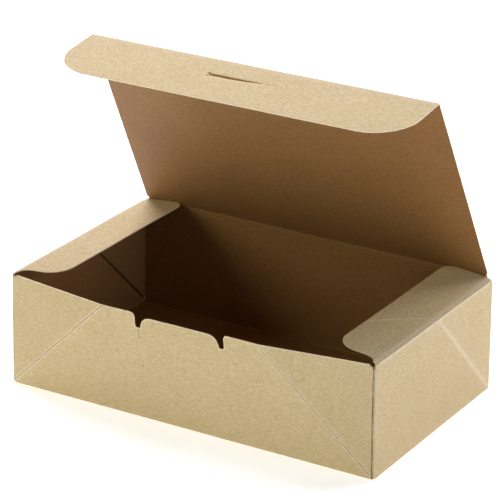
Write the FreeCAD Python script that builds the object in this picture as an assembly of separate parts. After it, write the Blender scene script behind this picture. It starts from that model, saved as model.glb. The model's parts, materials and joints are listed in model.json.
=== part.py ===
import FreeCAD, Part
import math
import os
from FreeCAD import Vector

# Pop-up takeaway box, folded and corner-glued from one creased blank of kraft board.
# Frame: +Z up, front wall towards -Y, origin at the centre of the base's underside.

# Driving dimensions, millimetres and degrees
board = 0.45                 # thickness of the board
box_length = 200.0           # base, left to right
box_depth = 118.0            # base, front to back
wall_height = 57.2           # base underside to the top crease of the side walls
side_lean = 0.6              # side walls lean in
front_lean = 8.3             # front wall's middle panel leans out
bevel_in = 2.2               # strip between a side wall and its dust flap, across
bevel_up = 1.3               # the same strip, upwards
flap_width = 22.5            # dust flap, fold to free edge
flap_back_radius = 6.0
flap_front_radius = 11.0
flap_front_setback = 5.4     # dust flap's front edge, behind the front wall's outer face
flap_root_setback = 1.8      # the same at the flap's fold
flap_root_sweep = 3.2        # length over which the front edge swings back from the fold
flap_back_gap = 1.0          # dust flap to the back wall's outer face
corner_slot = 1.7            # front wall's raw edge, short of each front corner
tab_inset = 1.5              # glue tab's edge, short of the diagonal crease
tab_top_gap = 1.0            # glue tab's top edge, below the wall's top
tab_clip = 3.0               # corner clipped off a back glue tab
notch_outer = 24.5           # from the middle of the front wall to a notch's outer side
notch_depth = 7.8
notch_round = 1.8            # rounding between the notch's outer side and the top edge
notch_floor = 3.0            # width of the notch's rounded floor
tongue_half = 15.4           # half of the tongue's straight top
tongue_drop = 1.4            # tongue's top edge, below the wall's top edge
lid_angle = 62.0             # lid above level as it stands
lid_side_gap = 2.4           # lid narrower than the side walls at its hinge, on each side
lid_taper = 3.0              # lid narrower again at the tuck flap's fold, on each side
lid_corner = 1.2             # rounding of the lid's corners beside the hinge
lid_rest_gap = 0.35          # closed lid above the dust flaps
tuck_length = 40.0           # fold to free edge
tuck_radius = 22.0
tuck_closed_fold = 106.0     # fold of the tuck flap when the lid is closed, none at 180 open
tuck_front_gap = 0.5         # tuck flap's fold behind the glue tabs when the lid is closed
slit_from_fold = 14.4
slit_half = 19.0
slit_leg = 4.5
slit_width = 0.7
slit_round = 1.6
hinge_gap_wall = 0.5         # back wall's top edge below the hinge axis
hinge_gap_lid = 0.35         # lid's edge from the hinge axis
fold_gap = 0.55              # lid's and tuck flap's edges from the axis between them

# Worked out from those
half_length = box_length / 2
half_depth = box_depth / 2
side_slope = math.tan(math.radians(side_lean))
front_slope = math.tan(math.radians(front_lean))
wall_top_x = half_length - wall_height * side_slope
flap_fold_x = wall_top_x - bevel_in
lid_half_hinge = wall_top_x - lid_side_gap
lid_half_fold = lid_half_hinge - lid_taper
flap_top = wall_height + bevel_up
hinge_y = half_depth - board / 2
hinge_z = flap_top + lid_rest_gap + board / 2
tuck_fold_y = -half_depth + 2 * board + tuck_front_gap + board / 2
lid_depth = hinge_y - tuck_fold_y
tuck_ratio = tuck_closed_fold / 180.0
tuck_fold_at_rest = tuck_closed_fold - tuck_ratio * lid_angle
huge = 800.0


def half_space(point, inward):
    """Everything on the inward side of a plane, as one large block."""
    block = Part.makeBox(huge, huge, huge, Vector(-huge / 2, -huge / 2, 0))
    block.Placement = FreeCAD.Placement(point, FreeCAD.Rotation(Vector(0, 0, 1), inward))
    return block


def convex(planes):
    """The solid inside every plane; each plane is a point and an inward normal."""
    solid = half_space(*planes[0])
    for plane in planes[1:]:
        solid = solid.common(half_space(*plane))
    return solid


def moved_in(plane, distance):
    point, inward = plane
    return (point + inward * distance, inward)


def turned(plane):
    return (plane[0], plane[1] * -1)


def prism(points, direction):
    """A polygon, or a closed list of edges, pushed along a direction."""
    if isinstance(points[0], Part.Edge):
        wire = Part.Wire(points)
    else:
        wire = Part.makePolygon(points + points[:1])
    return Part.Face(wire).extrude(direction)


def line(start, end):
    return Part.makeLine(start, end)


def arc(start, middle, end):
    return Part.Arc(start, middle, end).toShape()


def quarter(start, end, centre):
    """A circular arc from start to end about a centre, the short way."""
    radius = (start - centre).Length
    middle = centre + ((start + end) * 0.5 - centre).normalize() * radius
    return arc(start, middle, end)


# The planes of the walls' outer faces
floor_plane = (Vector(0, 0, 0), Vector(0, 0, 1))
back_plane = (Vector(0, half_depth, 0), Vector(0, -1, 0))
front_plane = (Vector(0, -half_depth, 0), Vector(0, 1, front_slope).normalize())


def side_plane(side):
    inward = Vector(-side, 0, -side_slope).normalize()
    return (Vector(side * half_length, 0, 0), inward)


def triangle_plane(side):
    """Outer face of the front wall's end triangle, between a corner and its diagonal crease."""
    bottom = Vector(side * half_length, -half_depth, 0)
    corner = Vector(side * wall_top_x, -half_depth, wall_height)
    crease = Vector(side * (half_length - wall_height), -half_depth - wall_height * front_slope, wall_height)
    inward = (corner - bottom).cross(crease - bottom).normalize()
    if inward.y < 0:
        inward = inward * -1
    return (bottom, inward)


wall_planes = [back_plane, front_plane, side_plane(-1), side_plane(1), triangle_plane(-1), triangle_plane(1)]


def walls_and_base():
    top = (Vector(0, 0, hinge_z - hinge_gap_wall), Vector(0, 0, -1))
    outside = convex([floor_plane, top] + wall_planes)
    inside = convex([moved_in(p, board) for p in [floor_plane] + wall_planes])
    shell = outside.cut(inside)
    above = Part.makeBox(huge, huge, huge, Vector(-huge / 2, half_depth - board - huge, wall_height))
    shell = shell.cut(above)
    ear = huge / 2
    for side in (-1, 1):
        start = lid_half_hinge if side > 0 else -lid_half_hinge - ear
        shell = shell.cut(Part.makeBox(ear, huge, huge, Vector(start, 0, wall_height)))
    return shell


def corner_slots(side):
    """What the front wall's layer lacks beside a front corner."""
    start = half_length - corner_slot if side > 0 else -half_length - corner_slot
    strip = Part.makeBox(2 * corner_slot, huge, huge, Vector(start, -half_depth - huge / 2, board))
    return strip.common(half_space(*turned(moved_in(triangle_plane(side), board))))


def glue_tab(face_plane, diagonal, side, extra=()):
    """A triangular tab on the inner face of a wall, above its diagonal crease."""
    limits = [
        moved_in(face_plane, board),
        turned(moved_in(face_plane, 2 * board)),
        moved_in(side_plane(side), board / 2),
        moved_in(back_plane, board / 2),
        diagonal,
        (Vector(0, 0, wall_height - tab_top_gap), Vector(0, 0, -1)),
    ]
    return convex(limits + list(extra))


def front_tab(side):
    corner = Vector(side * half_length, 0, tab_inset * math.sqrt(2))
    return glue_tab(triangle_plane(side), (corner, Vector(side, 0, 1).normalize()), side)


def back_tab(side):
    corner = Vector(0, half_depth, tab_inset * math.sqrt(2))
    tip = Vector(0, half_depth - wall_height + tab_inset * math.sqrt(2) + tab_clip, 0)
    return glue_tab(side_plane(side), (corner, Vector(0, 1, 1).normalize()), side, [(tip, Vector(0, 1, 0))])


def notches():
    """Two notches in the front wall's top edge, with the tongue between them."""
    y = -half_depth - wall_height * front_slope - 2 * board
    floor_z = wall_height - notch_depth
    sky = wall_height + notch_depth
    floor_sag = notch_floor * 0.15
    bulge_x = tongue_half + 0.66 * (notch_outer - notch_floor - tongue_half)
    bulge_z = wall_height - tongue_drop - 0.34 * (notch_depth - tongue_drop)

    def at(x, z):
        return Vector(x, y, z)

    edges = []
    for side in (1, -1):
        lip = at(side * (notch_outer + notch_round), wall_height)
        side_top = at(side * notch_outer, wall_height - notch_round)
        side_low = at(side * notch_outer, floor_z + notch_floor / 2)
        floor_mid = at(side * (notch_outer - floor_sag), floor_z + floor_sag)
        foot = at(side * (notch_outer - notch_floor), floor_z)
        shoulder = at(side * tongue_half, wall_height - tongue_drop)
        bulge = at(side * bulge_x, bulge_z)
        edges += [
            line(at(side * (notch_outer + notch_round), sky), lip),
            quarter(lip, side_top, at(side * (notch_outer + notch_round), wall_height - notch_round)),
            line(side_top, side_low),
            arc(side_low, floor_mid, foot),
            arc(foot, bulge, shoulder),
        ]
    tongue_top = wall_height - tongue_drop
    edges.append(line(at(-tongue_half, tongue_top), at(tongue_half, tongue_top)))
    edges.append(line(at(-notch_outer - notch_round, sky), at(notch_outer + notch_round, sky)))
    wire = Part.Wire(Part.__sortEdges__(edges))
    return Part.Face(wire).extrude(Vector(0, half_depth / 2, 0))


def dust_flap(side):
    """A side wall's bevelled strip and the dust flap beyond it, over the inside of the tray."""
    run = Vector(-bevel_in, 0, bevel_up).normalize()
    inner = Vector(-run.z, 0, run.x) * board
    crease = Vector(wall_top_x, 0, wall_height)
    fold = Vector(flap_fold_x, 0, flap_top)
    free_x = flap_fold_x - flap_width
    foot_x = (crease + inner + run * (-inner.z / run.z)).x
    mitre_x = (fold + inner + run * ((-board - inner.z) / run.z)).x
    section = [
        crease,
        fold,
        Vector(free_x, 0, flap_top),
        Vector(free_x, 0, flap_top - board),
        Vector(mitre_x, 0, flap_top - board),
        Vector(foot_x, 0, wall_height),
    ]
    folded = prism([p + Vector(0, -half_depth, 0) for p in section], Vector(0, box_depth, 0))

    front = -half_depth + flap_front_setback
    root = -half_depth + flap_root_setback
    back = half_depth - flap_back_gap
    low = wall_height - board

    def at(x, y):
        return Vector(x, y, low)

    hollow = at(flap_fold_x - flap_root_sweep * 0.4, root + (front - root) * 0.75)
    outline = [
        line(at(wall_top_x + board, root), at(flap_fold_x, root)),
        arc(at(flap_fold_x, root), hollow, at(flap_fold_x - flap_root_sweep, front)),
        line(at(flap_fold_x - flap_root_sweep, front), at(free_x + flap_front_radius, front)),
        quarter(
            at(free_x + flap_front_radius, front),
            at(free_x, front + flap_front_radius),
            at(free_x + flap_front_radius, front + flap_front_radius),
        ),
        line(at(free_x, front + flap_front_radius), at(free_x, back - flap_back_radius)),
        quarter(
            at(free_x, back - flap_back_radius),
            at(free_x + flap_back_radius, back),
            at(free_x + flap_back_radius, back - flap_back_radius),
        ),
        line(at(free_x + flap_back_radius, back), at(wall_top_x + board, back)),
        line(at(wall_top_x + board, back), at(wall_top_x + board, root)),
    ]
    flap = folded.common(prism(outline, Vector(0, 0, bevel_up + 2 * board)))
    return flap if side > 0 else flap.mirror(Vector(0, 0, 0), Vector(1, 0, 0))


def tray():
    body = walls_and_base()
    body = body.cut(notches())
    for side in (-1, 1):
        body = body.cut(corner_slots(side))
    for side in (-1, 1):
        body = body.fuse([front_tab(side), back_tab(side), dust_flap(side)])
    return body.removeSplitter()


def opened(shape):
    """Turns a shape from the closed lid's place to the lid's standing place."""
    shape.rotate(Vector(0, hinge_y, hinge_z), Vector(1, 0, 0), -lid_angle)
    return shape


def lid():
    low = hinge_z - board / 2
    start = hinge_y - hinge_gap_lid
    end = tuck_fold_y + fold_gap
    outline = [
        Vector(lid_half_hinge - lid_corner, start, low),
        Vector(lid_half_hinge, start - lid_corner, low),
        Vector(lid_half_fold, end, low),
        Vector(-lid_half_fold, end, low),
        Vector(-lid_half_hinge, start - lid_corner, low),
        Vector(-lid_half_hinge + lid_corner, start, low),
    ]
    return opened(prism(outline, Vector(0, 0, board)))


def slit(low):
    """The U-shaped cut in the tuck flap, its legs towards the free edge."""
    y = tuck_fold_y - slit_from_fold
    thick = Vector(0, 0, 3 * board)

    def outline(half, top, radius):
        bottom = y - slit_leg
        return [
            line(Vector(-half, bottom, low), Vector(-half, top - radius, low)),
            quarter(
                Vector(-half, top - radius, low),
                Vector(-half + radius, top, low),
                Vector(-half + radius, top - radius, low),
            ),
            line(Vector(-half + radius, top, low), Vector(half - radius, top, low)),
            quarter(
                Vector(half - radius, top, low),
                Vector(half, top - radius, low),
                Vector(half - radius, top - radius, low),
            ),
            line(Vector(half, top - radius, low), Vector(half, bottom, low)),
            line(Vector(half, bottom, low), Vector(-half, bottom, low)),
        ]

    whole = prism(outline(slit_half, y, slit_round + slit_width), thick)
    kept = prism(outline(slit_half - slit_width, y - slit_width, slit_round), thick)
    return whole.cut(kept)


def tuck_flap():
    low = hinge_z - board / 2
    start = tuck_fold_y - fold_gap
    end = tuck_fold_y - tuck_length
    half = lid_half_fold
    outline = [
        line(Vector(-half, start, low), Vector(half, start, low)),
        line(Vector(half, start, low), Vector(half, end + tuck_radius, low)),
        quarter(
            Vector(half, end + tuck_radius, low),
            Vector(half - tuck_radius, end, low),
            Vector(half - tuck_radius, end + tuck_radius, low),
        ),
        line(Vector(half - tuck_radius, end, low), Vector(-half + tuck_radius, end, low)),
        quarter(
            Vector(-half + tuck_radius, end, low),
            Vector(-half, end + tuck_radius, low),
            Vector(-half + tuck_radius, end + tuck_radius, low),
        ),
        line(Vector(-half, end + tuck_radius, low), Vector(-half, start, low)),
    ]
    flap = prism(outline, Vector(0, 0, board)).cut(slit(low - board))
    flap.rotate(Vector(0, tuck_fold_y, hinge_z), Vector(1, 0, 0), tuck_fold_at_rest)
    return opened(flap)


os.makedirs("parts", exist_ok=True)
pieces = {"tray": tray(), "lid": lid(), "tuck_flap": tuck_flap()}
for name, shape in pieces.items():
    if shape.ShapeType == "Compound" and len(shape.Solids) == 1:
        shape = shape.Solids[0]
    shape.exportStep("parts/" + name + ".step")
    print(name, len(shape.Solids), "solid,", round(shape.Volume / 1000, 2), "cm3, valid", shape.isValid())

turn = math.radians(lid_angle)
print("hinge axis y, z:", round(hinge_y, 4), round(hinge_z, 4), "lid depth", round(lid_depth, 3))
fold_y = hinge_y - lid_depth * math.cos(turn)
fold_z = hinge_z + lid_depth * math.sin(turn)
print("tuck fold axis y, z:", round(fold_y, 4), round(fold_z, 4))
print("tuck ratio", round(tuck_ratio, 5), "fold at rest", round(tuck_fold_at_rest, 3))
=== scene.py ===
import json
import math

import bpy
import numpy as np
from mathutils import Matrix, Vector, noise
from mathutils.geometry import delaunay_2d_cdt


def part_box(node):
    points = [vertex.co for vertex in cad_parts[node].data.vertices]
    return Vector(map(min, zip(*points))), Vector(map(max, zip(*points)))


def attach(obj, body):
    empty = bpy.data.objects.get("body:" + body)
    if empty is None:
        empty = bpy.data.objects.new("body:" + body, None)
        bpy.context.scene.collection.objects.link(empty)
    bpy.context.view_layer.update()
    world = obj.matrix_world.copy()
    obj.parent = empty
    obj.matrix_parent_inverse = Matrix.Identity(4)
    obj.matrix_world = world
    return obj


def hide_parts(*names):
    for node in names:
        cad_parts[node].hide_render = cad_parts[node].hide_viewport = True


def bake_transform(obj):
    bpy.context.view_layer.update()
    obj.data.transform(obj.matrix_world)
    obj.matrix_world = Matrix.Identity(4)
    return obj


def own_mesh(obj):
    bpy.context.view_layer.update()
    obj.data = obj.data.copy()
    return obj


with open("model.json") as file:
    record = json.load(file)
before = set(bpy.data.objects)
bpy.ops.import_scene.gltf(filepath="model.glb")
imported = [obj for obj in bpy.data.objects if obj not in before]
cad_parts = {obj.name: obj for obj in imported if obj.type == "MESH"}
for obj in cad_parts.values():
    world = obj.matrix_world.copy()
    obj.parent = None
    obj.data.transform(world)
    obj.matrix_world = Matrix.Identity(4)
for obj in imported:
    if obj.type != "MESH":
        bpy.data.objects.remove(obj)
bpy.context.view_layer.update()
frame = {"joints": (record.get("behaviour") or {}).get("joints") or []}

mm = 0.001
scene = bpy.context.scene
trayLow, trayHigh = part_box("tray")
joints = {joint["name"]: joint for joint in frame["joints"]}
hinge = Vector(joints["lid_hinge"]["pos_m"])
fold = Vector(joints["tuck_fold"]["pos_m"])

# what the whole carton shares; the outer sizes come from the frame
carton = {
    "board": 0.45 * mm,
    "wallHeight": 57.2 * mm,
    "sideLean": 0.6,  # degrees
    "bottomRound": 0.9 * mm,  # outer radius of the folds round the base
    "baseLip": 3 * mm,  # how far a wall's sheet reaches under the box
    "cell": 2.6 * mm,  # mesh size on the flat of a wall
    "baseCell": 6 * mm,
    "lidCell": 2 * mm,
    "sliver": 0.006 * mm,  # thinner triangles are left out
    "creaseWidth": 0.6 * mm,  # how far a fold looks stretched, to each side
    "warp": 0.16 * mm,
    "warpSize": 46 * mm,
    "warpStart": 4 * mm,  # the height over which the warp grows
    "warpSeed": 5,
}
board = carton["board"]
wallHeight = carton["wallHeight"]
halfLength = trayHigh.x
halfDepth = trayHigh.y
sideSlope = math.tan(math.radians(carton["sideLean"]))
wallTopX = halfLength - wallHeight * sideSlope
frontSlope = (-halfDepth - trayLow.y) / wallHeight
# the lean of the triangles at the front wall's ends
endSlope = frontSlope * wallHeight / (wallHeight - halfLength + wallTopX)
lidRise = math.atan2(fold.z - hinge.z, hinge.y - fold.y)
lidDepth = (fold - hinge).length


# shader maths: Wire is a socket that takes part in sums, Bench is the material whose nodes it adds
class Wire:
    def __init__(self, bench, socket):
        self.bench = bench
        self.socket = socket

    def joined(self, operation, other, swapped=False):
        first, second = (other, self) if swapped else (self, other)
        return self.bench.add("ShaderNodeMath", {"operation": operation}, {0: first, 1: second})

    def __add__(self, other):
        return self.joined("ADD", other)

    def __radd__(self, other):
        return self.joined("ADD", other, True)

    def __sub__(self, other):
        return self.joined("SUBTRACT", other)

    def __rsub__(self, other):
        return self.joined("SUBTRACT", other, True)

    def __mul__(self, other):
        return self.joined("MULTIPLY", other)

    def __rmul__(self, other):
        return self.joined("MULTIPLY", other, True)

    def __lt__(self, other):
        return self.joined("LESS_THAN", other)


class Bench:
    def __init__(self, name):
        self.material = bpy.data.materials.new(name)
        self.material.use_nodes = True
        self.tree = self.material.node_tree
        self.shader = self.tree.nodes["Principled BSDF"]

    def add(self, kind, settings=None, sockets=None, out=0):
        node = self.tree.nodes.new(kind)
        for key, value in (settings or {}).items():
            if key == "stops":
                while len(node.color_ramp.elements) < len(value):
                    node.color_ramp.elements.new(0.5)
                for stop, (place, shade) in zip(node.color_ramp.elements, value):
                    stop.position = place
                    stop.color = (shade, shade, shade, 1)
            else:
                setattr(node, key, value)
        for key, value in (sockets or {}).items():
            self.feed(node.inputs[key], value)
        return Wire(self, node.outputs[out])

    def feed(self, socket, value):
        if isinstance(value, Wire):
            self.tree.links.new(value.socket, socket)
        else:
            socket.default_value = value

    def millimetres(self, stretch=(1, 1, 1)):
        place = self.add("ShaderNodeTexCoord", out="Object")
        scale = tuple(1000 * s for s in stretch)
        return self.add("ShaderNodeVectorMath", {"operation": "MULTIPLY"}, {0: place, 1: scale})

    def noise(self, vector, size, detail=3.0, roughness=0.55):
        sockets = {"Vector": vector, "Scale": 1 / size, "Detail": detail, "Roughness": roughness}
        return self.add("ShaderNodeTexNoise", {"noise_dimensions": "3D"}, sockets)

    def ramp(self, value, *stops):
        return self.add("ShaderNodeValToRGB", {"stops": stops}, {0: value})

    def mix(self, share, under, over):
        settings = {"data_type": "RGBA", "clamp_factor": True}
        return self.add("ShaderNodeMix", settings, {0: share, 6: under, 7: over}, out=2)

    def flecks(self, vector, spacing, radius, share):
        # a few of the cells of a Voronoi pattern hold a small soft spot
        cell = {"Vector": vector, "Scale": 1 / spacing, "Randomness": 1.0}
        near = self.add("ShaderNodeTexVoronoi", {"feature": "F1"}, cell)
        pick = self.add("ShaderNodeTexVoronoi", {"feature": "F1"}, cell, out="Color")
        chance = self.add("ShaderNodeSeparateColor", {}, {0: pick}, out=0)
        edge = radius / spacing
        spot = self.ramp(near, (edge * 0.5, 1), (edge, 0))
        return spot * (chance < share)


def kraft(name, look):
    bench = Bench(name)
    place = bench.millimetres()
    long, thin = look["fibreStretch"]
    along = bench.millimetres((long, thin, thin))
    sideways = bench.millimetres((thin, long, thin))
    cloud = bench.noise(place, look["cloudSize"], 2.0)
    mottle = bench.noise(place, look["mottleSize"], 5.0, 0.65)
    lengthways = bench.noise(along, look["fibreSize"], 2.5, 0.6)
    fibres = lengthways + bench.noise(sideways, look["fibreSize"], 2.5, 0.6)
    shade = (cloud - 0.5) * look["cloud"] + (mottle - 0.5) * look["mottle"]
    shade = shade + (fibres - 1.0) * look["fibre"]
    depth = bench.ramp(shade + 0.5, (0.0, 0.0), (1.0, 1.0))
    colour = bench.mix(depth, look["deep"], look["pale"])
    hairs = bench.ramp(bench.noise(along, look["hairSize"], 1.0), (0.70, 0.0), (0.76, 1.0))
    colour = bench.mix(hairs * look["hairs"], colour, look["hair"])
    dark = bench.flecks(place, spacing=2.3, radius=0.30, share=0.10)
    colour = bench.mix(dark * look["flecks"], colour, look["fleck"])
    askew = bench.millimetres((0.8, 1.3, 1.1))
    light = bench.flecks(askew, spacing=1.7, radius=0.32, share=0.12)
    colour = bench.mix(light * look["flecks"] * 0.6, colour, look["hair"])
    worn = bench.add("ShaderNodeAttribute", {"attribute_name": "crease"}, out="Fac")
    colour = bench.mix(worn * look["worn"] * (0.6 + 0.8 * mottle), colour, look["stretched"])
    bench.feed(bench.shader.inputs["Base Color"], colour)
    bench.feed(bench.shader.inputs["Roughness"], look["rough"] + 0.22 * mottle)
    bench.shader.inputs["IOR"].default_value = 1.42
    bench.shader.inputs["Specular IOR Level"].default_value = look["shine"]
    height = 0.55 * fibres + 0.45 * bench.noise(place, 0.55, 3.0)
    sockets = {"Strength": look["bump"], "Distance": look["bumpHeight"], "Height": height}
    bump = bench.add("ShaderNodeBump", {}, sockets)
    bench.feed(bench.shader.inputs["Normal"], bump)
    return bench.material


# looks: the board's colours, then how strong and how large (in millimetres) its patterns are
outerLook = {
    "deep": (0.49, 0.367, 0.175, 1),
    "pale": (0.735, 0.600, 0.358, 1),
    "stretched": (0.80, 0.69, 0.50, 1),
    "hair": (0.80, 0.68, 0.48, 1),
    "fleck": (0.26, 0.155, 0.07, 1),
    "cloud": 0.25, "cloudSize": 24,
    "mottle": 1.0, "mottleSize": 0.9,
    "fibre": 1.6, "fibreSize": 0.8, "fibreStretch": (0.28, 1.9),
    "hairs": 0.4, "hairSize": 0.34,
    "flecks": 0.5, "worn": 0.25,
    "bump": 0.4, "bumpHeight": 0.05 * mm,
    "rough": 0.70, "shine": 0.28,
}
# the inner face is a darker, redder brown than the outer: partly the board's own inner side and partly
# painted shade for the dim inside of the box
innerLook = dict(
    outerLook, deep=(0.225, 0.108, 0.029, 1), pale=(0.365, 0.190, 0.060, 1), stretched=(0.52, 0.35, 0.18, 1),
    hair=(0.46, 0.29, 0.14, 1), fleck=(0.10, 0.045, 0.015, 1),
    worn=0.05, mottle=2.2, cloud=0.4, rough=0.48, shine=0.55,
)
# the cut edge is paler than the faces: partly the raw fibres' own lighter tone and partly a painted highlight
# where the edge catches the light
edgeLook = dict(
    outerLook, deep=(0.72, 0.59, 0.37, 1), pale=(0.92, 0.81, 0.58, 1), mottleSize=0.5, cloud=0.2, bump=0.3,
)
# the score beads are paler than the faces: partly the stretched fibres' own whitening and partly a painted
# highlight along the ridges
scoreLook = dict(outerLook, deep=(0.68, 0.56, 0.37, 1), pale=(0.88, 0.78, 0.60, 1))
# a dark brown painted shade: the thin line between a front score's two ridges stands in for the shade in its
# groove
grooveShadeLook = dict(outerLook, deep=(0.27, 0.17, 0.07, 1), pale=(0.37, 0.245, 0.10, 1))
# a very dark brown for the torn line and the speck, which are marks of the board, and for the painted shadow
# along the back tabs' edges
marksAndShadowLook = dict(innerLook, deep=(0.07, 0.033, 0.012, 1), pale=(0.13, 0.065, 0.026, 1))
finishes = [
    kraft("kraft_outer_face", outerLook),
    kraft("kraft_inner_face", innerLook),
    kraft("kraft_cut_edge", edgeLook),
]
scoreFinish = kraft("kraft_score_bead", scoreLook)
grooveShadeFinish = kraft("kraft_groove_painted_shade", grooveShadeLook)
marksAndShadowFinish = kraft("kraft_dark_marks_and_painted_shadow", marksAndShadowLook)
print("materials made")


# flat outlines, in metres on the sheet
def spread(points, step, closed=False):
    # the same line with points no further apart than the step
    out = []
    ends = points[1:] + points[:1] if closed else points[1:]
    for a, b in zip(points, ends):
        count = max(1, math.ceil(math.dist(a, b) / step))
        for i in range(count):
            out.append((a[0] + (b[0] - a[0]) * i / count, a[1] + (b[1] - a[1]) * i / count))
    if not closed:
        out.append(tuple(points[-1]))
    return out


def bend(centre, radius, start, end, count=8):
    # points of an arc, its angles in degrees
    angles = [math.radians(start + (end - start) * i / count) for i in range(count + 1)]
    return [(centre[0] + radius * math.cos(a), centre[1] + radius * math.sin(a)) for a in angles]


def sweep(a, control, b, count=8):
    # points of a curve that leaves a and reaches b, pulled towards control
    out = []
    for i in range(count + 1):
        t = i / count
        out.append(tuple((1 - t) ** 2 * a[k] + 2 * t * (1 - t) * control[k] + t * t * b[k] for k in (0, 1)))
    return out


def inside(points, loop):
    # which points lie inside a closed loop
    x, y = points[:, 0], points[:, 1]
    result = np.zeros(len(points), bool)
    for (ax, ay), (bx, by) in zip(loop, loop[1:] + loop[:1]):
        if ay != by:
            crosses = (ay > y) != (by > y)
            result ^= crosses & (x < (bx - ax) * (y - ay) / (by - ay) + ax)
    return result


def away(points, lines):
    # distance from each point to the nearest of the lines
    best = np.full(len(points), 1e9)
    for line in lines:
        for a, b in zip(line[:-1], line[1:]):
            a, d = np.array(a), np.array(b) - np.array(a)
            t = np.clip(((points - a) @ d) / max(d @ d, 1e-18), 0, 1)
            best = np.minimum(best, np.hypot(*(points - a - t[:, None] * d).T))
    return best


rims = {}  # free edges that catch the light
shapes = {}  # each sheet's own place(u, v), for what is laid on it later


def filled(rim, cuts, lines, cell):
    # the flat of a sheet as points and triangles, which miss the cuts and follow the lines
    grid = np.array(rim)
    low, high = grid.min(0), grid.max(0)
    dots = []
    for i, y in enumerate(np.arange(low[1] + cell / 2, high[1], cell * 0.87)):
        dots += [(x + (cell / 2 if i % 2 else 0), y) for x in np.arange(low[0], high[0], cell)]
    dots = np.array(dots).reshape(-1, 2)
    walls = [rim + rim[:1]] + [cut + cut[:1] for cut in cuts] + lines
    keep = inside(dots, rim) & (away(dots, walls) > cell * 0.5)
    for cut in cuts:
        keep &= ~inside(dots, cut)
    verts, edges = [], []
    for line, closed in [(rim, True)] + [(cut, True) for cut in cuts] + [(line, False) for line in lines]:
        first = len(verts)
        verts += [Vector(p) for p in line]
        edges += [(first + i, first + i + 1) for i in range(len(line) - 1)]
        if closed:
            edges.append((first + len(line) - 1, first))
    verts += [Vector(p) for p in dots[keep]]
    points, _, faces, _, _, _ = delaunay_2d_cdt(verts, edges, [], 0, 1e-7)
    flat = np.array([tuple(p) for p in points])
    faces = np.array([f for f in faces if len(f) == 3])
    middle = flat[faces].mean(1)
    good = inside(middle, rim)
    for cut in cuts:
        good &= ~inside(middle, cut)
    a, b, c = (flat[faces[:, k]] for k in range(3))
    across = [np.linalg.norm(p - q, axis=1) for p, q in ((b, a), (c, b), (a, c))]
    twice = np.abs((b - a)[:, 0] * (c - a)[:, 1] - (b - a)[:, 1] * (c - a)[:, 0])
    good &= twice > np.max(across, axis=0) * carton["sliver"]
    faces = faces[good]
    used = np.unique(faces)
    number = np.full(len(flat), -1)
    number[used] = np.arange(len(used))
    return flat[used], number[faces]


def cutSheet(name, outline, place, outward, guides=(), holes=(), creases=(), cell=None):
    # a sheet of board cut to the outline, shaped by place(u, v), with its thickness behind its outer face
    cell = cell or carton["cell"]
    rim = spread(outline, cell, True)
    cuts = [spread(hole, cell, True) for hole in holes]
    lines = [spread(guide, cell) for guide in guides]
    flat, faces = filled(rim, cuts, lines, cell)
    shapes[name] = place
    shaped = np.array([tuple(place(u, v)) for u, v in flat])
    a, b, c = shaped[faces[:, 0]], shaped[faces[:, 1]], shaped[faces[:, 2]]
    if (np.cross(b - a, c - a).sum(0) @ np.array(outward)) < 0:
        faces = faces[:, ::-1]
    mesh = bpy.data.meshes.new(name)
    mesh.from_pydata(shaped.tolist(), [], faces.tolist())
    worn = mesh.attributes.new("crease", "FLOAT", "POINT")
    if creases:
        near = np.exp(-((away(flat, creases) / carton["creaseWidth"]) ** 2))
        worn.data.foreach_set("value", near.astype(np.float32))
    sheet = bpy.data.objects.new(name, mesh)
    scene.collection.objects.link(sheet)
    for finish in finishes:
        mesh.materials.append(finish)
    thicken = sheet.modifiers.new("board", "SOLIDIFY")
    thicken.thickness = board
    thicken.offset = -1
    thicken.use_even_offset = True
    thicken.material_offset = 1
    # the cut edges take the pale cut-edge finish, partly a painted highlight
    thicken.material_offset_rim = 2
    return settled(sheet)


def settled(piece, sharp=38):
    # the piece as a plain mesh with its modifiers applied
    graph = bpy.context.evaluated_depsgraph_get()
    shape = piece.evaluated_get(graph)
    mesh = bpy.data.meshes.new_from_object(shape, preserve_all_data_layers=True, depsgraph=graph)
    mesh.name = piece.name
    piece.modifiers.clear()
    piece.data = mesh
    mesh.shade_smooth()
    mesh.set_sharp_from_angle(angle=math.radians(sharp))
    return piece


def joined(name, pieces):
    # several sheets of one blank as one piece
    with bpy.context.temp_override(active_object=pieces[0], selected_editable_objects=pieces):
        bpy.ops.object.join()
    pieces[0].name = name
    pieces[0].data.name = name
    return pieces[0]


def softPath(corners, radius, step=0.12 * mm):
    # a line through corners, each rounded, as points with their distance along it
    points = [np.array(corners[0])]
    for a, b, c in zip(corners[:-2], corners[1:-1], corners[2:]):
        a, b, c = np.array(a), np.array(b), np.array(c)
        back = (a - b) / np.linalg.norm(a - b) * radius
        on = (c - b) / np.linalg.norm(c - b) * radius
        points += [np.array(p) for p in sweep(b + back, b, b + on, 10)]
    points.append(np.array(corners[-1]))
    points = np.array(points)
    return points, np.concatenate([[0], np.cumsum(np.hypot(*np.diff(points, axis=0).T))])


def along(path, s):
    points, distance = path
    return np.interp(s, distance, points[:, 0]), np.interp(s, distance, points[:, 1])


noise.seed_set(carton["warpSeed"])  # unseeded, the warp would change from run to run


def warped(x, y, z):
    # the small bow and wave that board keeps, the same for every sheet so that they still meet
    push = noise.noise_vector(Vector((x, y, z)) / carton["warpSize"]) * carton["warp"]
    push.z *= min(1, max(0, z / carton["warpStart"]))  # the base stays flat on the table
    return Vector((x, y, z)) + push


# base, side walls with the front glue tabs, back wall with the back glue tabs, front wall
lip = carton["baseLip"]


def rising(foot, head):
    # a wall's outer line in section: in from under the box, round the bottom fold and up
    return softPath([(foot - lip, 0), (foot, 0), head], carton["bottomRound"])


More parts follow.
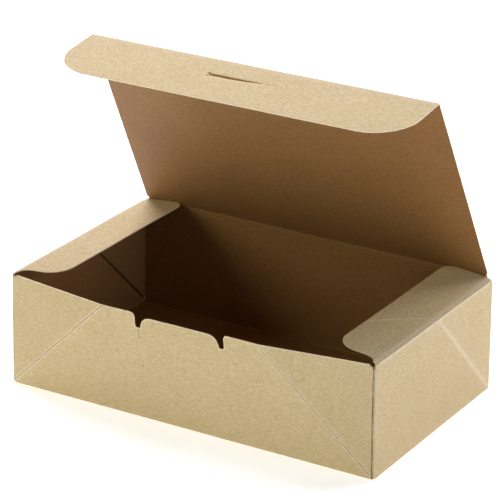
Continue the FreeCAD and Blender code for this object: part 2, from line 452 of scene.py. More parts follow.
sideRise = rising(halfLength, (wallTopX, wallHeight))
backRise = rising(halfDepth, (halfDepth, trayHigh.z))
frontRise = rising(halfDepth, (halfDepth + wallHeight * frontSlope, wallHeight))
sideTop = {"below": 0.4 * mm}  # where a side wall's sheet gives way to the strip above it

bottomFold = {
    "from": 0.9 * mm,  # the fold's extent on a wall's sheet, below and above the lip's edge
    "to": 0.5 * mm,
    "line": 0.2 * mm,
    "clear": 0.3 * mm,  # where the upright edges start
}
ledge = lip + bottomFold["clear"]

tabs = {
    "cornerRound": 0.5 * mm,
    "frontShort": 4 * mm,  # a front tab's length, short of the wall's height
    "frontGap": 1.2 * mm,  # the front tab stands off the front wall beside the corner
    "frontGapStart": 0.7 * mm,
    "frontGapEnd": 11 * mm,
    "backGap": 0.25 * mm,  # the same at a back tab
    "backGapEnd": 8 * mm,
    "inset": 1.5 * mm,  # a tab's slanted edge from the crease
    "topGap": 1.0 * mm,
    "clip": 3.0 * mm,
    "clipSlope": 1.2 * mm,
    "slot": 1.7 * mm,  # front wall's raw edge, short of the corner
}
slant = tabs["inset"] * math.sqrt(2)


def foldGuides(start, end):
    # lines across a wall's sheet, close enough for its bottom fold to turn smoothly
    levels = np.linspace(lip - bottomFold["from"], lip + bottomFold["to"], 5)
    return [[(start, v), (end, v)] for v in levels]


def foldLine(start, end):
    return [(start, lip - bottomFold["line"]), (end, lip - bottomFold["line"])]


def basePanel():
    x, y = halfLength - lip, halfDepth - lip
    outline = [(-x, -y), (x, -y), (x, y), (-x, y)]

    def place(u, v):
        return warped(u, v, 0)

    return cutSheet("base", outline, place, (0, 0, -1), cell=carton["baseCell"])


sideEdge = {
    "lipFront": 0.4 * mm,  # the ends of the part under the box
    "lipBack": 1.0 * mm,
    "backFoot": 0.02 * mm,  # the back edge nearly meets the corner at the fold
    "backFootDrop": 0.6 * mm,
    "backGap": 0.35 * mm,  # and stands off it above
    "backGapUp": 1 * mm,
    "tabTopIn": 1.2 * mm,  # the tab's top edge, from the crease's top
    "tabTopDrop": 0.8 * mm,
    "tabTipDrop": 1 * mm,
    "tabFootIn": 1.9 * mm,
    "tabFootUp": 0.4 * mm,
    "score": 0.2 * mm,  # the diagonal score, from the bottom corner
    "scoreGuide": 0.45 * mm,
    "cornerGuide": 0.3 * mm,  # between the lines along the front crease
    "cornerGuideTop": 1.5 * mm,
    "guideFront": 1.5 * mm,  # the ends of the lines along the bottom fold
    "guideBack": 1.2 * mm,
}


def sideWall(side):
    e = sideEdge
    top = sideRise[1][-1] - sideTop["below"]
    corner = -halfDepth + board
    flatEnd = corner + tabs["cornerRound"]
    tabLength = wallHeight - tabs["frontShort"]
    turn = [(0, halfDepth), (0, corner), (halfLength, corner - endSlope * halfLength)]
    run = softPath(turn, tabs["cornerRound"])

    def place(u, v):
        out, z = along(sideRise, v)
        inset, y = along(run, halfDepth - u)
        growing = min(1, max(0, inset / tabs["frontGapStart"] - 1))
        gap = tabs["frontGap"] * growing * max(0, 1 - inset / tabs["frontGapEnd"])
        return warped(side * (out - inset), y + gap, z)

    tip = -halfDepth - tabLength + 2 * board
    outline = [
        (corner + e["lipFront"], 0), (halfDepth - lip + e["lipBack"], 0),
        (halfDepth - e["backFoot"], ledge - e["backFootDrop"]),
        (halfDepth - e["backGap"], ledge + e["backGapUp"]), (halfDepth - e["backGap"], top),
        (corner, top), (corner - e["tabTopIn"], top - e["tabTopDrop"]),
        (tip, top - tabs["topGap"] + sideTop["below"]), (tip, tabLength + slant - e["tabTipDrop"]),
        (corner - e["tabFootIn"], ledge + e["tabFootUp"]), (corner, ledge),
    ]
    bottom = halfDepth - e["score"]
    score = [(bottom, lip), (bottom - top + lip, top)]
    guides = [[(p + e["scoreGuide"] * k, q) for p, q in score] for k in (-1, 1)]
    for k in range(4):
        u = flatEnd - k * e["cornerGuide"]
        guides.append([(u, ledge + e["backGapUp"]), (u, top - e["cornerGuideTop"])])
    guides += foldGuides(corner + e["guideFront"], halfDepth - e["guideBack"])
    folds = [score, foldLine(corner, halfDepth)]
    folds += [[(corner, ledge), (corner, top)], [(corner, top), (halfDepth, top)]]
    name = "side_right" if side > 0 else "side_left"
    return cutSheet(name, outline, place, (side, 0, 0), guides, creases=folds)


backEdge = {
    "drop": 1.375 * mm,  # the wall's top beside the lid's crease, below its middle
    "footIn": 0.1 * mm,  # the tab's foot and top, either side of the crease
    "footOut": 0.3 * mm,
    "topIn": 0.5 * mm,
    "topOut": 0.4 * mm,
    "cornerGuide": 0.2 * mm,
    "cornerGuideFoot": 1 * mm,
    "cornerGuideTop": 3 * mm,
}


def backWall():
    e = backEdge
    top = backRise[1][-1]
    corner = halfLength - board
    run = softPath([(0, 0), (corner, 0), (corner, wallHeight * 2)], tabs["cornerRound"] * 0.7)
    shoulder = lidHalf["hinge"]

    def place(u, v):
        out, z = along(backRise, v)
        across, inset = along(run, abs(u))
        across -= tabs["backGap"] * min(1, inset / tabs["backGapEnd"])
        return warped(math.copysign(across - z * sideSlope, u), out - inset, z)

    tip = corner + wallHeight - tabs["clip"] - slant
    tabTop = top - e["drop"] - tabs["topGap"]
    half = [
        (corner - lip, 0), (corner - e["footIn"], ledge), (corner + e["footOut"], ledge + slant),
        (tip, tabTop - tabs["clip"] - tabs["clipSlope"]), (tip, tabTop),
        (corner + e["topOut"], tabTop), (corner - e["topIn"], top - e["drop"]),
        (shoulder, top - e["drop"]), (shoulder, top),
    ]
    outline = half + [(-x, v) for x, v in reversed(half)]
    guides = []
    for k in range(-1, 4):
        for s in (-1, 1):
            u = s * (corner - k * e["cornerGuide"])
            guides.append([(u, ledge + e["cornerGuideFoot"]), (u, top - e["cornerGuideTop"])])
    guides += foldGuides(-corner + lip, corner - lip)
    folds = [[(-corner, top), (corner, top)], foldLine(-corner, corner)]
    folds += [[(s * corner, ledge), (s * corner, top)] for s in (-1, 1)]
    return cutSheet("back", outline, place, (0, 1, 0), guides, creases=folds)


frontEdge = {
    "notchOuter": 24.5 * mm,
    "notchDepth": 7.8 * mm,
    "notchRound": 1.8 * mm,
    "notchFloor": 2.8 * mm,
    "tongueHalf": 15.4 * mm,
    "tongueDrop": 1.4 * mm,
    "footIn": 0.5 * mm,  # where the notch's floor meets the tongue's side
    "footUp": 0.3 * mm,
    "shoulderPull": 0.2 * mm,
    "chamfer": 1.6 * mm,  # at both ends
    "lipSide": 0.75,  # share of the lip that is cut straight
    "soft": 0.5 * mm,  # width over which the diagonal folds bend
    "scoreFoot": 2.2 * mm,  # the diagonal's start, from the bottom corner both ways
    "scoreGuide": 0.35 * mm,
}


def frontWall():
    e = frontEdge
    top = frontRise[1][-1]

    def place(u, v):
        out, z = along(frontRise, v)
        lean = out - halfDepth
        ends = endSlope * (halfLength - z * sideSlope - abs(u))
        if z > carton["bottomRound"]:
            soft = e["soft"] * endSlope
            gap = max(0.0, 1 - abs(lean - ends) / soft) if soft else 0
            lean = min(lean, ends) - gap * gap * soft / 4
        return warped(u, -halfDepth - lean, z)

    def edgeX(v):
        return halfLength - max(0.0, v - lip) * sideSlope - tabs["slot"]

    half = [
        (halfLength - lip, 0), (halfLength - lip, lip * e["lipSide"]), (edgeX(ledge), ledge),
        (edgeX(top), top - e["chamfer"]), (edgeX(top) - e["chamfer"], top),
    ]
    notch = bend((e["notchOuter"] + e["notchRound"], top - e["notchRound"]), e["notchRound"], 90, 180, 5)
    floorRound = e["notchFloor"] / 2
    notch += bend((e["notchOuter"] - floorRound, top - e["notchDepth"] + floorRound), floorRound, 0, -90, 6)
    foot = (e["notchOuter"] - e["notchFloor"] - e["footIn"], top - e["notchDepth"] + e["footUp"])
    notch.append(foot)
    shoulder = (e["tongueHalf"], top - e["tongueDrop"])
    pull = (foot[0] - e["footIn"], top - e["tongueDrop"] - e["shoulderPull"])
    notch += sweep(foot, pull, shoulder, 9)[1:]
    rims["front"] = half[4:] + notch + [(-x, v) for x, v in reversed(half[4:] + notch)]
    left = [(-x, v) for x, v in reversed(half + notch)]
    outline = half + notch + left
    guides, folds = [], []
    for s in (-1, 1):
        line = [(s * (halfLength - e["scoreFoot"]), lip + e["scoreFoot"])]
        line.append((s * (halfLength - wallHeight), top))
        guides += [[(x + k * e["scoreGuide"], v) for x, v in line] for k in (-2, -1, 0, 1, 2)]
        folds.append(line)
    guides += foldGuides(-halfLength + lip, halfLength - lip)
    folds.append(foldLine(-halfLength, halfLength))
    return cutSheet("front", outline, place, (0, -1, 0), guides, creases=folds)


lidHalf = {"hinge": wallTopX - 2.4 * mm, "fold": wallTopX - 5.4 * mm, "corner": 1.2 * mm}


def makeTray():
    pieces = [basePanel(), sideWall(-1), sideWall(1), backWall(), frontWall()]
    return joined("tray_board", pieces)


tray = makeTray()
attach(tray, "tray")
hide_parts("tray")
print("tray made:", len(tray.data.polygons), "faces")


# a bevelled strip and the dust flap beyond it
dust = {
    "bevelIn": 2.2 * mm,
    "bevelUp": 1.3 * mm,
    "width": 22.5 * mm,  # fold to free edge
    "rootRise": 6.4,  # degrees above level at the fold
    "edgeRise": 3.6,  # and at the free edge
    "frontSetback": 5.4 * mm,
    "rootSetback": 1.6 * mm,
    "sweep": 4.2 * mm,
    "frontRound": 11 * mm,
    "backRound": 6 * mm,
    "backGap": 1 * mm,
    "seamBend": 0.35 * mm,  # half of each fold's width along the profile
    "foldBend": 0.4 * mm,
    "backFlare": (0.65 * mm, 0.3 * mm),  # beyond the back edge at the wall and above the seam
    "backFlareUp": 0.6 * mm,
    "guideFront": 0.5 * mm,
    "guideBack": 0.2 * mm,
    "flankUp": 2 * mm,  # corners of the front edge, from its root and the fold
    "hollow": (1.0 * mm, 0.8 * mm),
    "heel": (0.2 * mm, 0.8 * mm),
    "toeUp": 0.5 * mm,
    "pullFlank": (0.2 * mm, 0.4),  # what the curves between them lean towards
    "pullHollow": (0.4 * mm, 0.2 * mm),
    "pullHeel": (0.1 * mm, 0.9 * mm),
    "keep": 0.06,
}
seamZ = wallHeight - sideTop["below"]


def dustProfile():
    # the strip's and the flap's line, as distance in from the wall and height above the seam
    bevel = math.hypot(dust["bevelIn"], dust["bevelUp"])
    bevelTurn = math.degrees(math.atan2(dust["bevelUp"], dust["bevelIn"]))
    start = sideTop["below"]
    marks = [0, start - dust["seamBend"], start + dust["seamBend"], start + bevel - dust["foldBend"],
             start + bevel + dust["foldBend"], start + bevel + dust["width"]]
    turns = [90 - carton["sideLean"]] * 2 + [bevelTurn] * 2 + [dust["rootRise"], dust["edgeRise"]]
    s = np.linspace(0, marks[-1], 400)
    angle = np.radians(np.interp(s, marks, turns))
    step = s[1] - s[0]
    inward = np.concatenate([[0], np.cumsum(np.cos(angle[1:]) * step)])
    up = np.concatenate([[0], np.cumsum(np.sin(angle[1:]) * step)])
    return (np.column_stack([inward, up]), s), marks


def dustFlap(side):
    profile, marks = dustProfile()
    end = marks[-1]
    foldAt = (marks[3] + marks[4]) / 2
    crease = sideTop["below"]
    front = -halfDepth + dust["frontSetback"]
    root = -halfDepth + dust["rootSetback"]
    back = halfDepth - dust["backGap"]
    startX = wallTopX + sideTop["below"] * sideSlope

    def place(u, v):
        inward, up = along(profile, v)
        return warped(side * (startX - inward), u, seamZ + up)

    # the front edge curves from the flap's side to a hollow, a heel and the wall's corner
    flank = (front, foldAt + dust["sweep"] + dust["flankUp"])
    hollow = (root + dust["hollow"][0], foldAt + dust["hollow"][1])
    heel = (root - dust["heel"][0], foldAt - dust["heel"][1])
    toe = (-halfDepth + board, crease + dust["toeUp"])
    pulls = [(front - dust["pullFlank"][0], foldAt + dust["sweep"] * dust["pullFlank"][1]),
             (root - dust["pullHollow"][0], foldAt + dust["pullHollow"][1]),
             (root - dust["pullHeel"][0], crease + dust["pullHeel"][1])]
    flare = dust["backFlare"]
    outline = [(back + flare[0], 0), (back + flare[1], crease + dust["backFlareUp"]), (back, foldAt)]
    outline += bend((back - dust["backRound"], end - dust["backRound"]), dust["backRound"], 0, 90, 8)
    outline += bend((front + dust["frontRound"], end - dust["frontRound"]), dust["frontRound"], 90, 180, 12)
    outline += sweep(flank, pulls[0], hollow, 8)
    outline += sweep(hollow, pulls[1], heel, 5)[1:]
    outline += sweep(heel, pulls[2], toe, 5)[1:]
    outline.append((-halfDepth + board, 0))
    levels = list(np.linspace(marks[1], marks[2], 5)[1:]) + list(np.linspace(marks[3], marks[4], 5))
    guides = [[(root + dust["guideFront"], v), (back - dust["guideBack"], v)] for v in levels]
    diagonal = [(halfDepth - wallHeight, crease), (halfDepth - wallHeight - end + crease, end)]
    folds = [[(root, crease), (back, crease)], [(root, foldAt), (back, foldAt)], diagonal]
    name = "dust_flap_right" if side > 0 else "dust_flap_left"
    flap = cutSheet(name, outline, place, (0, 0, 1), guides, creases=folds)
    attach(flap, "tray")
    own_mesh(flap)


for side in (-1, 1):
    dustFlap(side)
print("dust flaps made")


# lid, tuck flap and the two creased strips that join them
lidFlap = {
    "gapWall": 0.5 * mm,  # back wall's top to the hinge axis
    "gapLid": 0.35 * mm,
    "gapFold": 0.55 * mm,
    "tuckLength": 40 * mm,
    "tuckRound": 22 * mm,
    "tuckFold": 69.489,  # degrees, from the lid's plane, as the box stands
}
tuckRise = lidRise - math.radians(lidFlap["tuckFold"])


def onPanel(axis, rise, t, x):
    # a point of the outer face, t along the panel from its axis
    run = Vector((0, -math.cos(rise), math.sin(rise)))
    out = Vector((0, math.sin(rise), math.cos(rise)))
    return axis + Vector((x, 0, 0)) + run * t + out * board / 2


def panelSheet(name, axis, rise, outline, outward, holes=(), creases=(), sag=None):
    def place(u, v):
        low = sag(u, v) if sag else 0
        return warped(*onPanel(axis, rise, v, u)) - Vector(outward) * low

    return cutSheet(name, outline, place, outward, holes=holes, creases=creases, cell=carton["lidCell"])


def creaseStrip(name, axis, rises, reach, halves):
    # the narrow strip of board curved about an axis between two bodies
    (first, last), (before, after) = rises, reach

    def place(u, v):
        t = (v - before) / (after - before)
        t = t * t * (3 - 2 * t)
        return warped(*onPanel(axis, first + (last - first) * t, v, u))

    outline = [(-halves[0], before), (halves[0], before), (halves[1], after), (-halves[1], after)]
    levels = np.linspace(before, after, 9)[1:-1]
    guides = [[(-halves[0], v), (halves[0], v)] for v in levels]
    outward = (0, math.sin((first + last) / 2), math.cos((first + last) / 2))
    strip = cutSheet(name, outline, place, outward, guides, creases=[[(-halves[0], 0), (halves[0], 0)]])
    start = axis + Vector((0, -math.cos(first), math.sin(first))) * before
    end = axis + Vector((0, -math.cos(last), math.sin(last))) * after
    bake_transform(strip)


def lidPanel():
    near, far = lidFlap["gapLid"], lidDepth - lidFlap["gapFold"]
    wide, narrow, corner = lidHalf["hinge"], lidHalf["fold"], lidHalf["corner"]
    half = [(wide - corner, near), (wide, near + corner), (narrow, far)]
    outline = half + [(-x, v) for x, v in reversed(half)]
    folds = [[(-wide, near), (wide, near)], [(-narrow, far), (narrow, far)]]
    outward = (0, math.sin(lidRise), math.cos(lidRise))
    return panelSheet("lid_board", hinge, lidRise, outline, outward, creases=folds)


slit = {
    "fromFold": 14.4 * mm,
    "half": 19 * mm,
    "leg": 4.5 * mm,
    "width": 0.4 * mm,
    "round": 1.6 * mm,
    "open": 0.6 * mm,  # how far its left part gapes
    "gape": ((4 * mm, 0), (-3 * mm, 0.4), (-9 * mm, 1)),  # share of that along the cut
    "gapeEnd": 2 * mm,
    "gapeEndShare": 0.8,
    "cornerLift": 0.2 * mm,
    "sag": 1.5 * mm,  # how far the tab sinks there
    "sagFrom": 0.75,  # shares of the half width over which the sag grows
    "sagOver": 1.1,
    "sagCurve": 1.5,
    "sagClear": 0.6,  # share of the cut's width that stays level
}


def slitLoop():
    # the U-shaped cut, its legs towards the free edge, gaping at its left part
    inner, outer = [], []
    left, right, at = -slit["half"], slit["half"], slit["fromFold"]
    thin, corner = slit["width"], slit["round"]
    outer += [(left, at + slit["leg"])] + bend((left + corner, at + corner), corner, 180, 270, 5)
    outer += bend((right - corner, at + corner), corner, 270, 360, 5) + [(right, at + slit["leg"])]
    inner += [(right - thin, at + slit["leg"])]
    inner += bend((right - corner, at + corner), corner - thin, 360, 270, 5)
    inner += [(x, at + thin + slit["open"] * share) for x, share in slit["gape"]]
    inner.append((left + corner + slit["gapeEnd"], at + thin + slit["open"] * slit["gapeEndShare"]))
    inner += bend((left + corner, at + corner + slit["cornerLift"]), corner - thin, 270, 180, 5)
    inner += [(left + thin, at + slit["leg"])]
    return outer + inner


def slitSag(u, v):
    # the tab inside the cut sinks at its left and stays level at its right
    t = (v - slit["fromFold"]) / slit["leg"]
    clear = slit["width"] * slit["sagClear"]
    if abs(u) > slit["half"] - clear or t < clear / slit["leg"] or t > 1:
        return 0
    share = min(1, max(0, (slit["half"] * slit["sagFrom"] - u) / (slit["half"] * slit["sagOver"])))
    return slit["sag"] * share * (1 - t) ** slit["sagCurve"]


def tuckPanel():
    near, far, half, corner = lidFlap["gapFold"], lidFlap["tuckLength"], lidHalf["fold"], lidFlap["tuckRound"]
    holes = [slitLoop()]
    outline = [(half, near)] + bend((half - corner, far - corner), corner, 0, 90, 14)
    outline += bend((-half + corner, far - corner), corner, 90, 180, 14) + [(-half, near)]
    folds = [[(-half, near), (half, near)]]
    outward = (0, math.sin(tuckRise), math.cos(tuckRise))
    return panelSheet("tuck_board", fold, tuckRise, outline, outward, holes, folds, slitSag)


lid = lidPanel()
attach(lid, "lid")
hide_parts("lid")
tuck = tuckPanel()
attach(tuck, "tuck_flap")
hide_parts("tuck_flap")
hingeHalf = lidHalf["hinge"] - lidHalf["corner"]
creaseStrip("lid_crease", hinge, (math.pi / 2, lidRise), (-lidFlap["gapWall"], lidFlap["gapLid"]),
            (lidHalf["hinge"], hingeHalf))
creaseStrip("tuck_crease", fold, (lidRise, tuckRise), (-lidFlap["gapFold"], lidFlap["gapFold"]),
            (lidHalf["fold"], lidHalf["fold"]))
print("lid and tuck flap made")


# scored ridges, a torn line and nicks, laid on the sheets by Geometry Nodes
class Bed:
    # a small Geometry Nodes tree: named inputs, nodes wired as they are added
    def __init__(self, name, inputs):
        self.tree = bpy.data.node_groups.new(name, "GeometryNodeTree")
        face = self.tree.interface
        face.new_socket("Geometry", in_out="INPUT", socket_type="NodeSocketGeometry")
        self.keys = {}
        for label, kind in inputs.items():
            socket = face.new_socket(label, in_out="INPUT", socket_type="NodeSocket" + kind)
            self.keys[label] = socket.identifier
        face.new_socket("Geometry", in_out="OUTPUT", socket_type="NodeSocketGeometry")
        self.start = self.tree.nodes.new("NodeGroupInput")
        self.finish = self.tree.nodes.new("NodeGroupOutput")

    def given(self, label):
        return self.start.outputs[label]

    def add(self, kind, sockets, settings=None, out=0):
        node = self.tree.nodes.new(kind)
        for key, value in (settings or {}).items():
            setattr(node, key, value)
        for key, value in sockets.items():
            if isinstance(value, bpy.types.NodeSocket):
                self.tree.links.new(value, node.inputs[key])
            else:
                node.inputs[key].default_value = value
        return node.outputs[out]

    def close(self, geometry, finish):
        real = self.add("GeometryNodeRealizeInstances", {"Geometry": geometry})
        done = self.add("GeometryNodeSetMaterial", {"Geometry": real, "Material": finish})
        self.tree.links.new(done, self.finish.inputs[0])

    def laid(self, name, points, edges, values):
        # the finished mesh this tree makes of a set of points
        mesh = bpy.data.meshes.new(name)
        mesh.from_pydata([tuple(p) for p in points], edges, [])
        piece = bpy.data.objects.new(name, mesh)
        scene.collection.objects.link(piece)
        nodes = piece.modifiers.new("nodes", "NODES")
        nodes.node_group = self.tree
        for label, value in values.items():
            nodes[self.keys[label]] = value
        return settled(piece, sharp=60)


def beadBed():
    kinds = {"Radius": "Float", "Step": "Float", "Variation": "Float", "Seed": "Int", "Finish": "Material"}
    bed = Bed("bead", kinds)
    curve = bed.add("GeometryNodeMeshToCurve", {"Mesh": bed.given("Geometry")})
    steps = {"Curve": curve, "Length": bed.given("Step")}
    even = bed.add("GeometryNodeResampleCurve", steps, {"mode": "LENGTH"})
    limits = {2: -1.0, 3: 1.0, "Seed": bed.given("Seed")}
    chance = bed.add("FunctionNodeRandomValue", limits, {"data_type": "FLOAT"}, out=1)
    swing = bed.add("ShaderNodeMath", {0: chance, 1: bed.given("Variation")}, {"operation": "MULTIPLY"})
    size = bed.add("ShaderNodeMath", {0: swing, 1: 1.0}, {"operation": "ADD"})
    section = bed.add("GeometryNodeCurvePrimitiveCircle", {"Resolution": 8, "Radius": bed.given("Radius")})
    sockets = {"Curve": even, "Profile Curve": section, "Scale": size, "Fill Caps": True}
    bed.close(bed.add("GeometryNodeCurveToMesh", sockets), bed.given("Finish"))
    return bed


def nickBed():
    bed = Bed("nicks", {"Width": "Float", "Seed": "Int", "Finish": "Material"})
    dots = bed.add("GeometryNodeMeshToPoints", {"Mesh": bed.given("Geometry")})
    burr = bed.add("GeometryNodeMeshCube", {"Size": (1.0, 0.9, 0.55)})
    limits = {0: (-0.1, -0.1, -0.5), 1: (0.1, 0.1, 0.5), "Seed": bed.given("Seed")}
    turn = bed.add("FunctionNodeRandomValue", limits, {"data_type": "FLOAT_VECTOR"})
    angle = bed.add("FunctionNodeEulerToRotation", {0: turn})
    sockets = {"Points": dots, "Instance": burr, "Rotation": angle, "Scale": bed.given("Width")}
    bed.close(bed.add("GeometryNodeInstanceOnPoints", sockets), bed.given("Finish"))
    return bed


# each line is a bead of its own radius, sunk into the sheet it lies on
beads = {
    "step": 0.7 * mm,
    "variation": 0.16,
    "spacing": 0.8 * mm,  # of the points that a line starts from
    "radius": 0.27 * mm,
    "sunk": 0.13 * mm,
    "pair": 0.55 * mm,  # half the distance between a score's two ridges
    "rimRadius": 0.29 * mm,
    "wallRadius": 0.30 * mm,
    "grooveShadeRadius": 0.15 * mm,
    "grooveShadeSunk": 0.08 * mm,
    "tearRadius": 0.12 * mm,
    "tearSunk": 0.05 * mm,
    "tabShadowRadius": 0.32 * mm,
    "tabShadowSunk": 0.2 * mm,
}
ridges = beadBed()
nicks = nickBed()


def lineOn(sheet, outward, a, b, sunk):
    # points from a to b on a sheet's outer face, a little way in
    count = math.ceil(math.dist(a, b) / beads["spacing"])
    down = Vector(outward) * sunk
    points = []
    for t in [i / count for i in range(count + 1)]:
        points.append(shapes[sheet](a[0] + (b[0] - a[0]) * t, a[1] + (b[1] - a[1]) * t) - down)
    return points


def ridge(name, lines, radius, finish, seed):
    points, edges = [], []
    for line in lines:
        edges += [(len(points) + i, len(points) + i + 1) for i in range(len(line) - 1)]
        points += line
    values = {"Radius": radius, "Step": beads["step"], "Variation": beads["variation"], "Seed": seed,
              "Finish": finish}
    piece = ridges.laid(name, points, edges, values)
    return piece


def paired(a, b, offset):
    # two lines either side of the one from a to b
    run = Vector((b[0] - a[0], b[1] - a[1])).normalized()
    across = Vector((-run.y, run.x)) * offset
    return [[(p[0] + across.x * k, p[1] + across.y * k) for p in (a, b)] for k in (-1, 1)]


# where the lines and spots lie; heights are below a wall's top edge unless a note says otherwise
laid = {
    "frontFoot": 2.4 * mm,  # a front diagonal's foot, from the bottom corner both ways
    "frontHead": 0.8 * mm,
    "sideFoot": 2.0 * mm,  # a side diagonal's foot, from the back corner
    "sideUp": 1.8 * mm,  # and above the lip
    "sideHead": 0.4 * mm,
    "tear": ((-22.9 * mm, 8.0 * mm), (-22.3 * mm, 13.5 * mm)),
    "speck": (-21.5 * mm, 28 * mm),
    "speckWidth": 0.55 * mm,
    "shadowLineOut": 1.0 * mm,  # the painted shadow line's foot, beyond the corner
    "shadowLineUp": 2.8 * mm,  # and above the lip
    "shadowLineIn": 3 * mm,  # its head, short of the tab's clipped corner
    "shadowLineDown": 2 * mm,
    "seamFront": 1.2 * mm,  # the seam's ends, in from the dust flap's
    "seamBack": 0.6 * mm,
    "acrossStart": 3 * mm,  # the diagonal's ends on the dust flap
    "acrossEnd": 1.2 * mm,
    "acrossSunk": 0.03 * mm,
    "nickWidth": 0.7 * mm,
    "nickOut": 0.1 * mm,
    "nicks": ((-1, 8), (-1, 52), (1, 2), (1, 48)),  # end of the tuck flap, degrees round its corner
}


def scoreBeads():
    # the diagonal folds of the front and side walls: two ridges each, and between the front ones a thin dark
    # line of painted shade for the groove
    lines, grooveShadeLines = [], []
    frontTop = frontRise[1][-1]
    sideHead = sideRise[1][-1] - sideTop["below"] - laid["sideHead"]
    bottom, up = halfDepth - laid["sideFoot"], lip + laid["sideUp"]
    for s in (-1, 1):
        foot = (s * (halfLength - laid["frontFoot"]), lip + laid["frontFoot"])
        head = (s * (halfLength - wallHeight), frontTop - laid["frontHead"])
        for a, b in paired(foot, head, beads["pair"]):
            lines.append(lineOn("front", (0, -1, 0), a, b, beads["sunk"]))
        grooveShadeLines.append(lineOn("front", (0, -1, 0), foot, head, beads["grooveShadeSunk"]))
        sheet = "side_right" if s > 0 else "side_left"
        for a, b in paired((bottom, up), (bottom - sideHead + up, sideHead), beads["pair"]):
            lines.append(lineOn(sheet, (s, 0, 0), a, b, beads["sunk"]))
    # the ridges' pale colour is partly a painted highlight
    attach(ridge("score_ridges", lines, beads["radius"], scoreFinish, seed=4), "tray")
    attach(ridge("score_groove_painted_shade", grooveShadeLines, beads["grooveShadeRadius"], grooveShadeFinish, seed=8), "tray")


def frontMarks():
    # the bright rim of the front wall's cut edge and the short torn line under its left notch
    top = frontRise[1][-1]
    rim = []
    for a, b in zip(rims["front"][:-1], rims["front"][1:]):
        rim += lineOn("front", (0, -1, 0), a, b, board * 0.5)[:-1]
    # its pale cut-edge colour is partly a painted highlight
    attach(ridge("front_rim", [rim], beads["rimRadius"], finishes[2], seed=7), "tray")
    tear = [(x, top - down) for x, down in laid["tear"]]
    torn = lineOn("front", (0, -1, 0), *tear, beads["tearSunk"])
    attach(ridge("torn_line", [torn], beads["tearRadius"], marksAndShadowFinish, seed=9), "tray")


def tabEdgeShadows():
    # a painted shadow: the dark line along each back tab's slanted edge
    tabTop = backRise[1][-1] - backEdge["drop"] - tabs["topGap"] - tabs["clip"]
    tabShadowLines = []
    for s in (-1, 1):
        foot = (s * (halfLength + laid["shadowLineOut"]), lip + laid["shadowLineUp"])
        head = (s * (halfLength + wallHeight - tabs["clip"] - laid["shadowLineIn"]), tabTop - laid["shadowLineDown"])
        tabShadowLines.append(lineOn("back", (s, 0, 0), foot, head, beads["tabShadowSunk"]))
    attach(ridge("tab_edge_painted_shadow", tabShadowLines, beads["tabShadowRadius"], marksAndShadowFinish, seed=5), "tray")


def speckOnFront():
    x, down = laid["speck"]
    speck = [shapes["front"](x, frontRise[1][-1] - down)]
    values = {"Width": laid["speckWidth"], "Seed": 2, "Finish": marksAndShadowFinish}
    piece = nicks.laid("speck", speck, [], values)
    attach(piece, "tray")


def flapBeads():
    # the seam along each dust flap's foot, and the right flap's diagonal; the left one is too faint to see
    marks = dustProfile()[1]
    end, crease = marks[-1], sideTop["below"]
    front = -halfDepth + dust["rootSetback"] + laid["seamFront"]
    back = halfDepth - dust["backGap"] - laid["seamBack"]
    start = halfDepth - wallHeight
    near = (start - laid["acrossStart"], crease + laid["acrossStart"])
    far = (start - end + crease + laid["acrossEnd"], end - laid["acrossEnd"])
    for s in (-1, 1):
        sheet = "dust_flap_right" if s > 0 else "dust_flap_left"
        seam = lineOn(sheet, (s, 0, 0.3), (front, crease), (back, crease), beads["sunk"])
        found = [("seam", seam, beads["wallRadius"])]
        if s > 0:
            across = lineOn(sheet, (0, 0, 1), near, far, beads["sunk"] + laid["acrossSunk"])
            found.append(("score", across, beads["radius"]))
        for name, line, radius in found:
            # the pale score finish is partly a painted highlight along the seam and the diagonal
            piece = ridge(sheet + "_" + name, [line], radius, scoreFinish, seed=6)
            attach(piece, "tray")
            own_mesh(piece)


def edgeNicks():
    # tiny burrs where the tuck flap's edge was held to its sheet
    half, far, corner = lidHalf["fold"], lidFlap["tuckLength"], lidFlap["tuckRound"]
    reach = corner + laid["nickOut"]
    outward = Vector((0, math.sin(tuckRise), math.cos(tuckRise)))
    points = []
    for s, angle in laid["nicks"]:
        a = math.radians(angle)
        u, v = s * (half - corner + reach * math.sin(a)), far - corner + reach * math.cos(a)
        points.append(shapes["tuck_board"](u, v) - outward * board * 0.5)
    # the burrs take the pale cut-edge finish, partly a painted highlight
    values = {"Width": laid["nickWidth"], "Seed": 3, "Finish": finishes[2]}
    piece = nicks.laid("edge_nicks", points, [], values)
    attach(piece, "tuck_flap")


scoreBeads()
frontMarks()
tabEdgeShadows()
speckOnFront()
flapBeads()
edgeNicks()
print("ridges and nicks made")


# camera, at the box's own three-quarter view from the front right and above
view = {
    "azimuth": 30.36,  # degrees, towards the right
    "elevation": 22.15,
    "roll": 0.85,
    "distance": 1.366,
    "right": -0.00034,  # shifts across the view
    "up": 0.0659,
    "lens": 201.6,
    "sensor": 36,
}


def makeCamera():
    az, el, roll = (math.radians(view[k]) for k in ("azimuth", "elevation", "roll"))
    back = Vector((math.sin(az) * math.cos(el), -math.cos(az) * math.cos(el), math.sin(el)))
    right = Vector((math.cos(az), math.sin(az), 0))
    up = back.cross(right)
    cosine, sine = math.cos(roll), math.sin(roll)
    right, up = right * cosine + up * sine, up * cosine - right * sine
    data = bpy.data.cameras.new("camera")
    data.lens = view["lens"]
    data.sensor_width = view["sensor"]
    camera = bpy.data.objects.new("camera", data)
    scene.collection.objects.link(camera)
    place = Matrix((right, up, back)).transposed().to_4x4()
    place.translation = back * view["distance"] + right * view["right"] + up * view["up"]
    camera.matrix_world = place
    scene.camera = camera


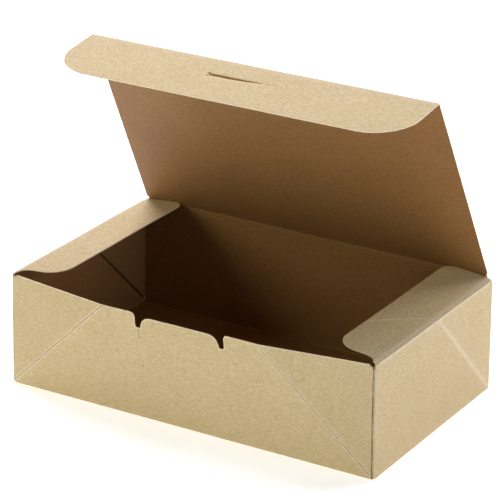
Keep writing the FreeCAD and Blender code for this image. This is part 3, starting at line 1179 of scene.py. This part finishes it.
# studio: a pale floor that glows, a strong soft lamp behind on the left and three weaker ones around
studio = {
    "floor": 8.0,  # half its width
    "floorDrop": 0.1 * mm,  # clear of the base's underside
    "floorTone": (0.93, 0.93, 0.92, 1),
    "floorRough": 0.9,
    "floorGlow": 0.58,
    "sky": 0.0,
    "lamps": {
        "back_left": {"at": (-0.9, 0.6, 1.3), "size": 0.9, "power": 29, "tint": (1.0, 0.99, 1.14)},
        "back_right": {"at": (0.5, 0.9, 1.3), "size": 0.8, "power": 9, "tint": (1.0, 0.98, 1.08)},
        "right": {"at": (1.7, -0.2, 0.4), "size": 1.1, "power": 11, "tint": (1.0, 1.02, 1.16)},
        "front_left": {"at": (-1.3, -1.2, 0.8), "size": 1.0, "power": 12, "tint": (1.0, 1.0, 0.80)},
    },
}


def makeStudio():
    mesh = bpy.data.meshes.new("floor")
    r = studio["floor"]
    low = -studio["floorDrop"]
    mesh.from_pydata([(-r, -r, low), (r, -r, low), (r, r, low), (-r, r, low)], [], [(0, 1, 2, 3)])
    floor = bpy.data.objects.new("floor", mesh)
    scene.collection.objects.link(floor)
    paper = bpy.data.materials.new("floor_paper")
    paper.use_nodes = True
    shader = paper.node_tree.nodes["Principled BSDF"]
    shader.inputs["Base Color"].default_value = studio["floorTone"]
    shader.inputs["Roughness"].default_value = studio["floorRough"]
    shader.inputs["Emission Color"].default_value = (1, 1, 1, 1)
    shader.inputs["Emission Strength"].default_value = studio["floorGlow"]
    mesh.materials.append(paper)
    world = bpy.data.worlds.new("studio")
    world.use_nodes = True
    sky = world.node_tree.nodes["Background"]
    sky.inputs["Color"].default_value = (1, 1, 1, 1)
    sky.inputs["Strength"].default_value = studio["sky"]
    scene.world = world
    for name, lamp in studio["lamps"].items():
        data = bpy.data.lights.new(name, "AREA")
        data.size = lamp["size"]
        data.energy = lamp["power"]
        data.color = lamp["tint"]
        light = bpy.data.objects.new(name, data)
        light.location = lamp["at"]
        light.rotation_euler = (-Vector(lamp["at"])).to_track_quat("-Z", "Y").to_euler()
        scene.collection.objects.link(light)
    scene.view_settings.view_transform = "Standard"


makeCamera()
makeStudio()
print("camera and studio made")
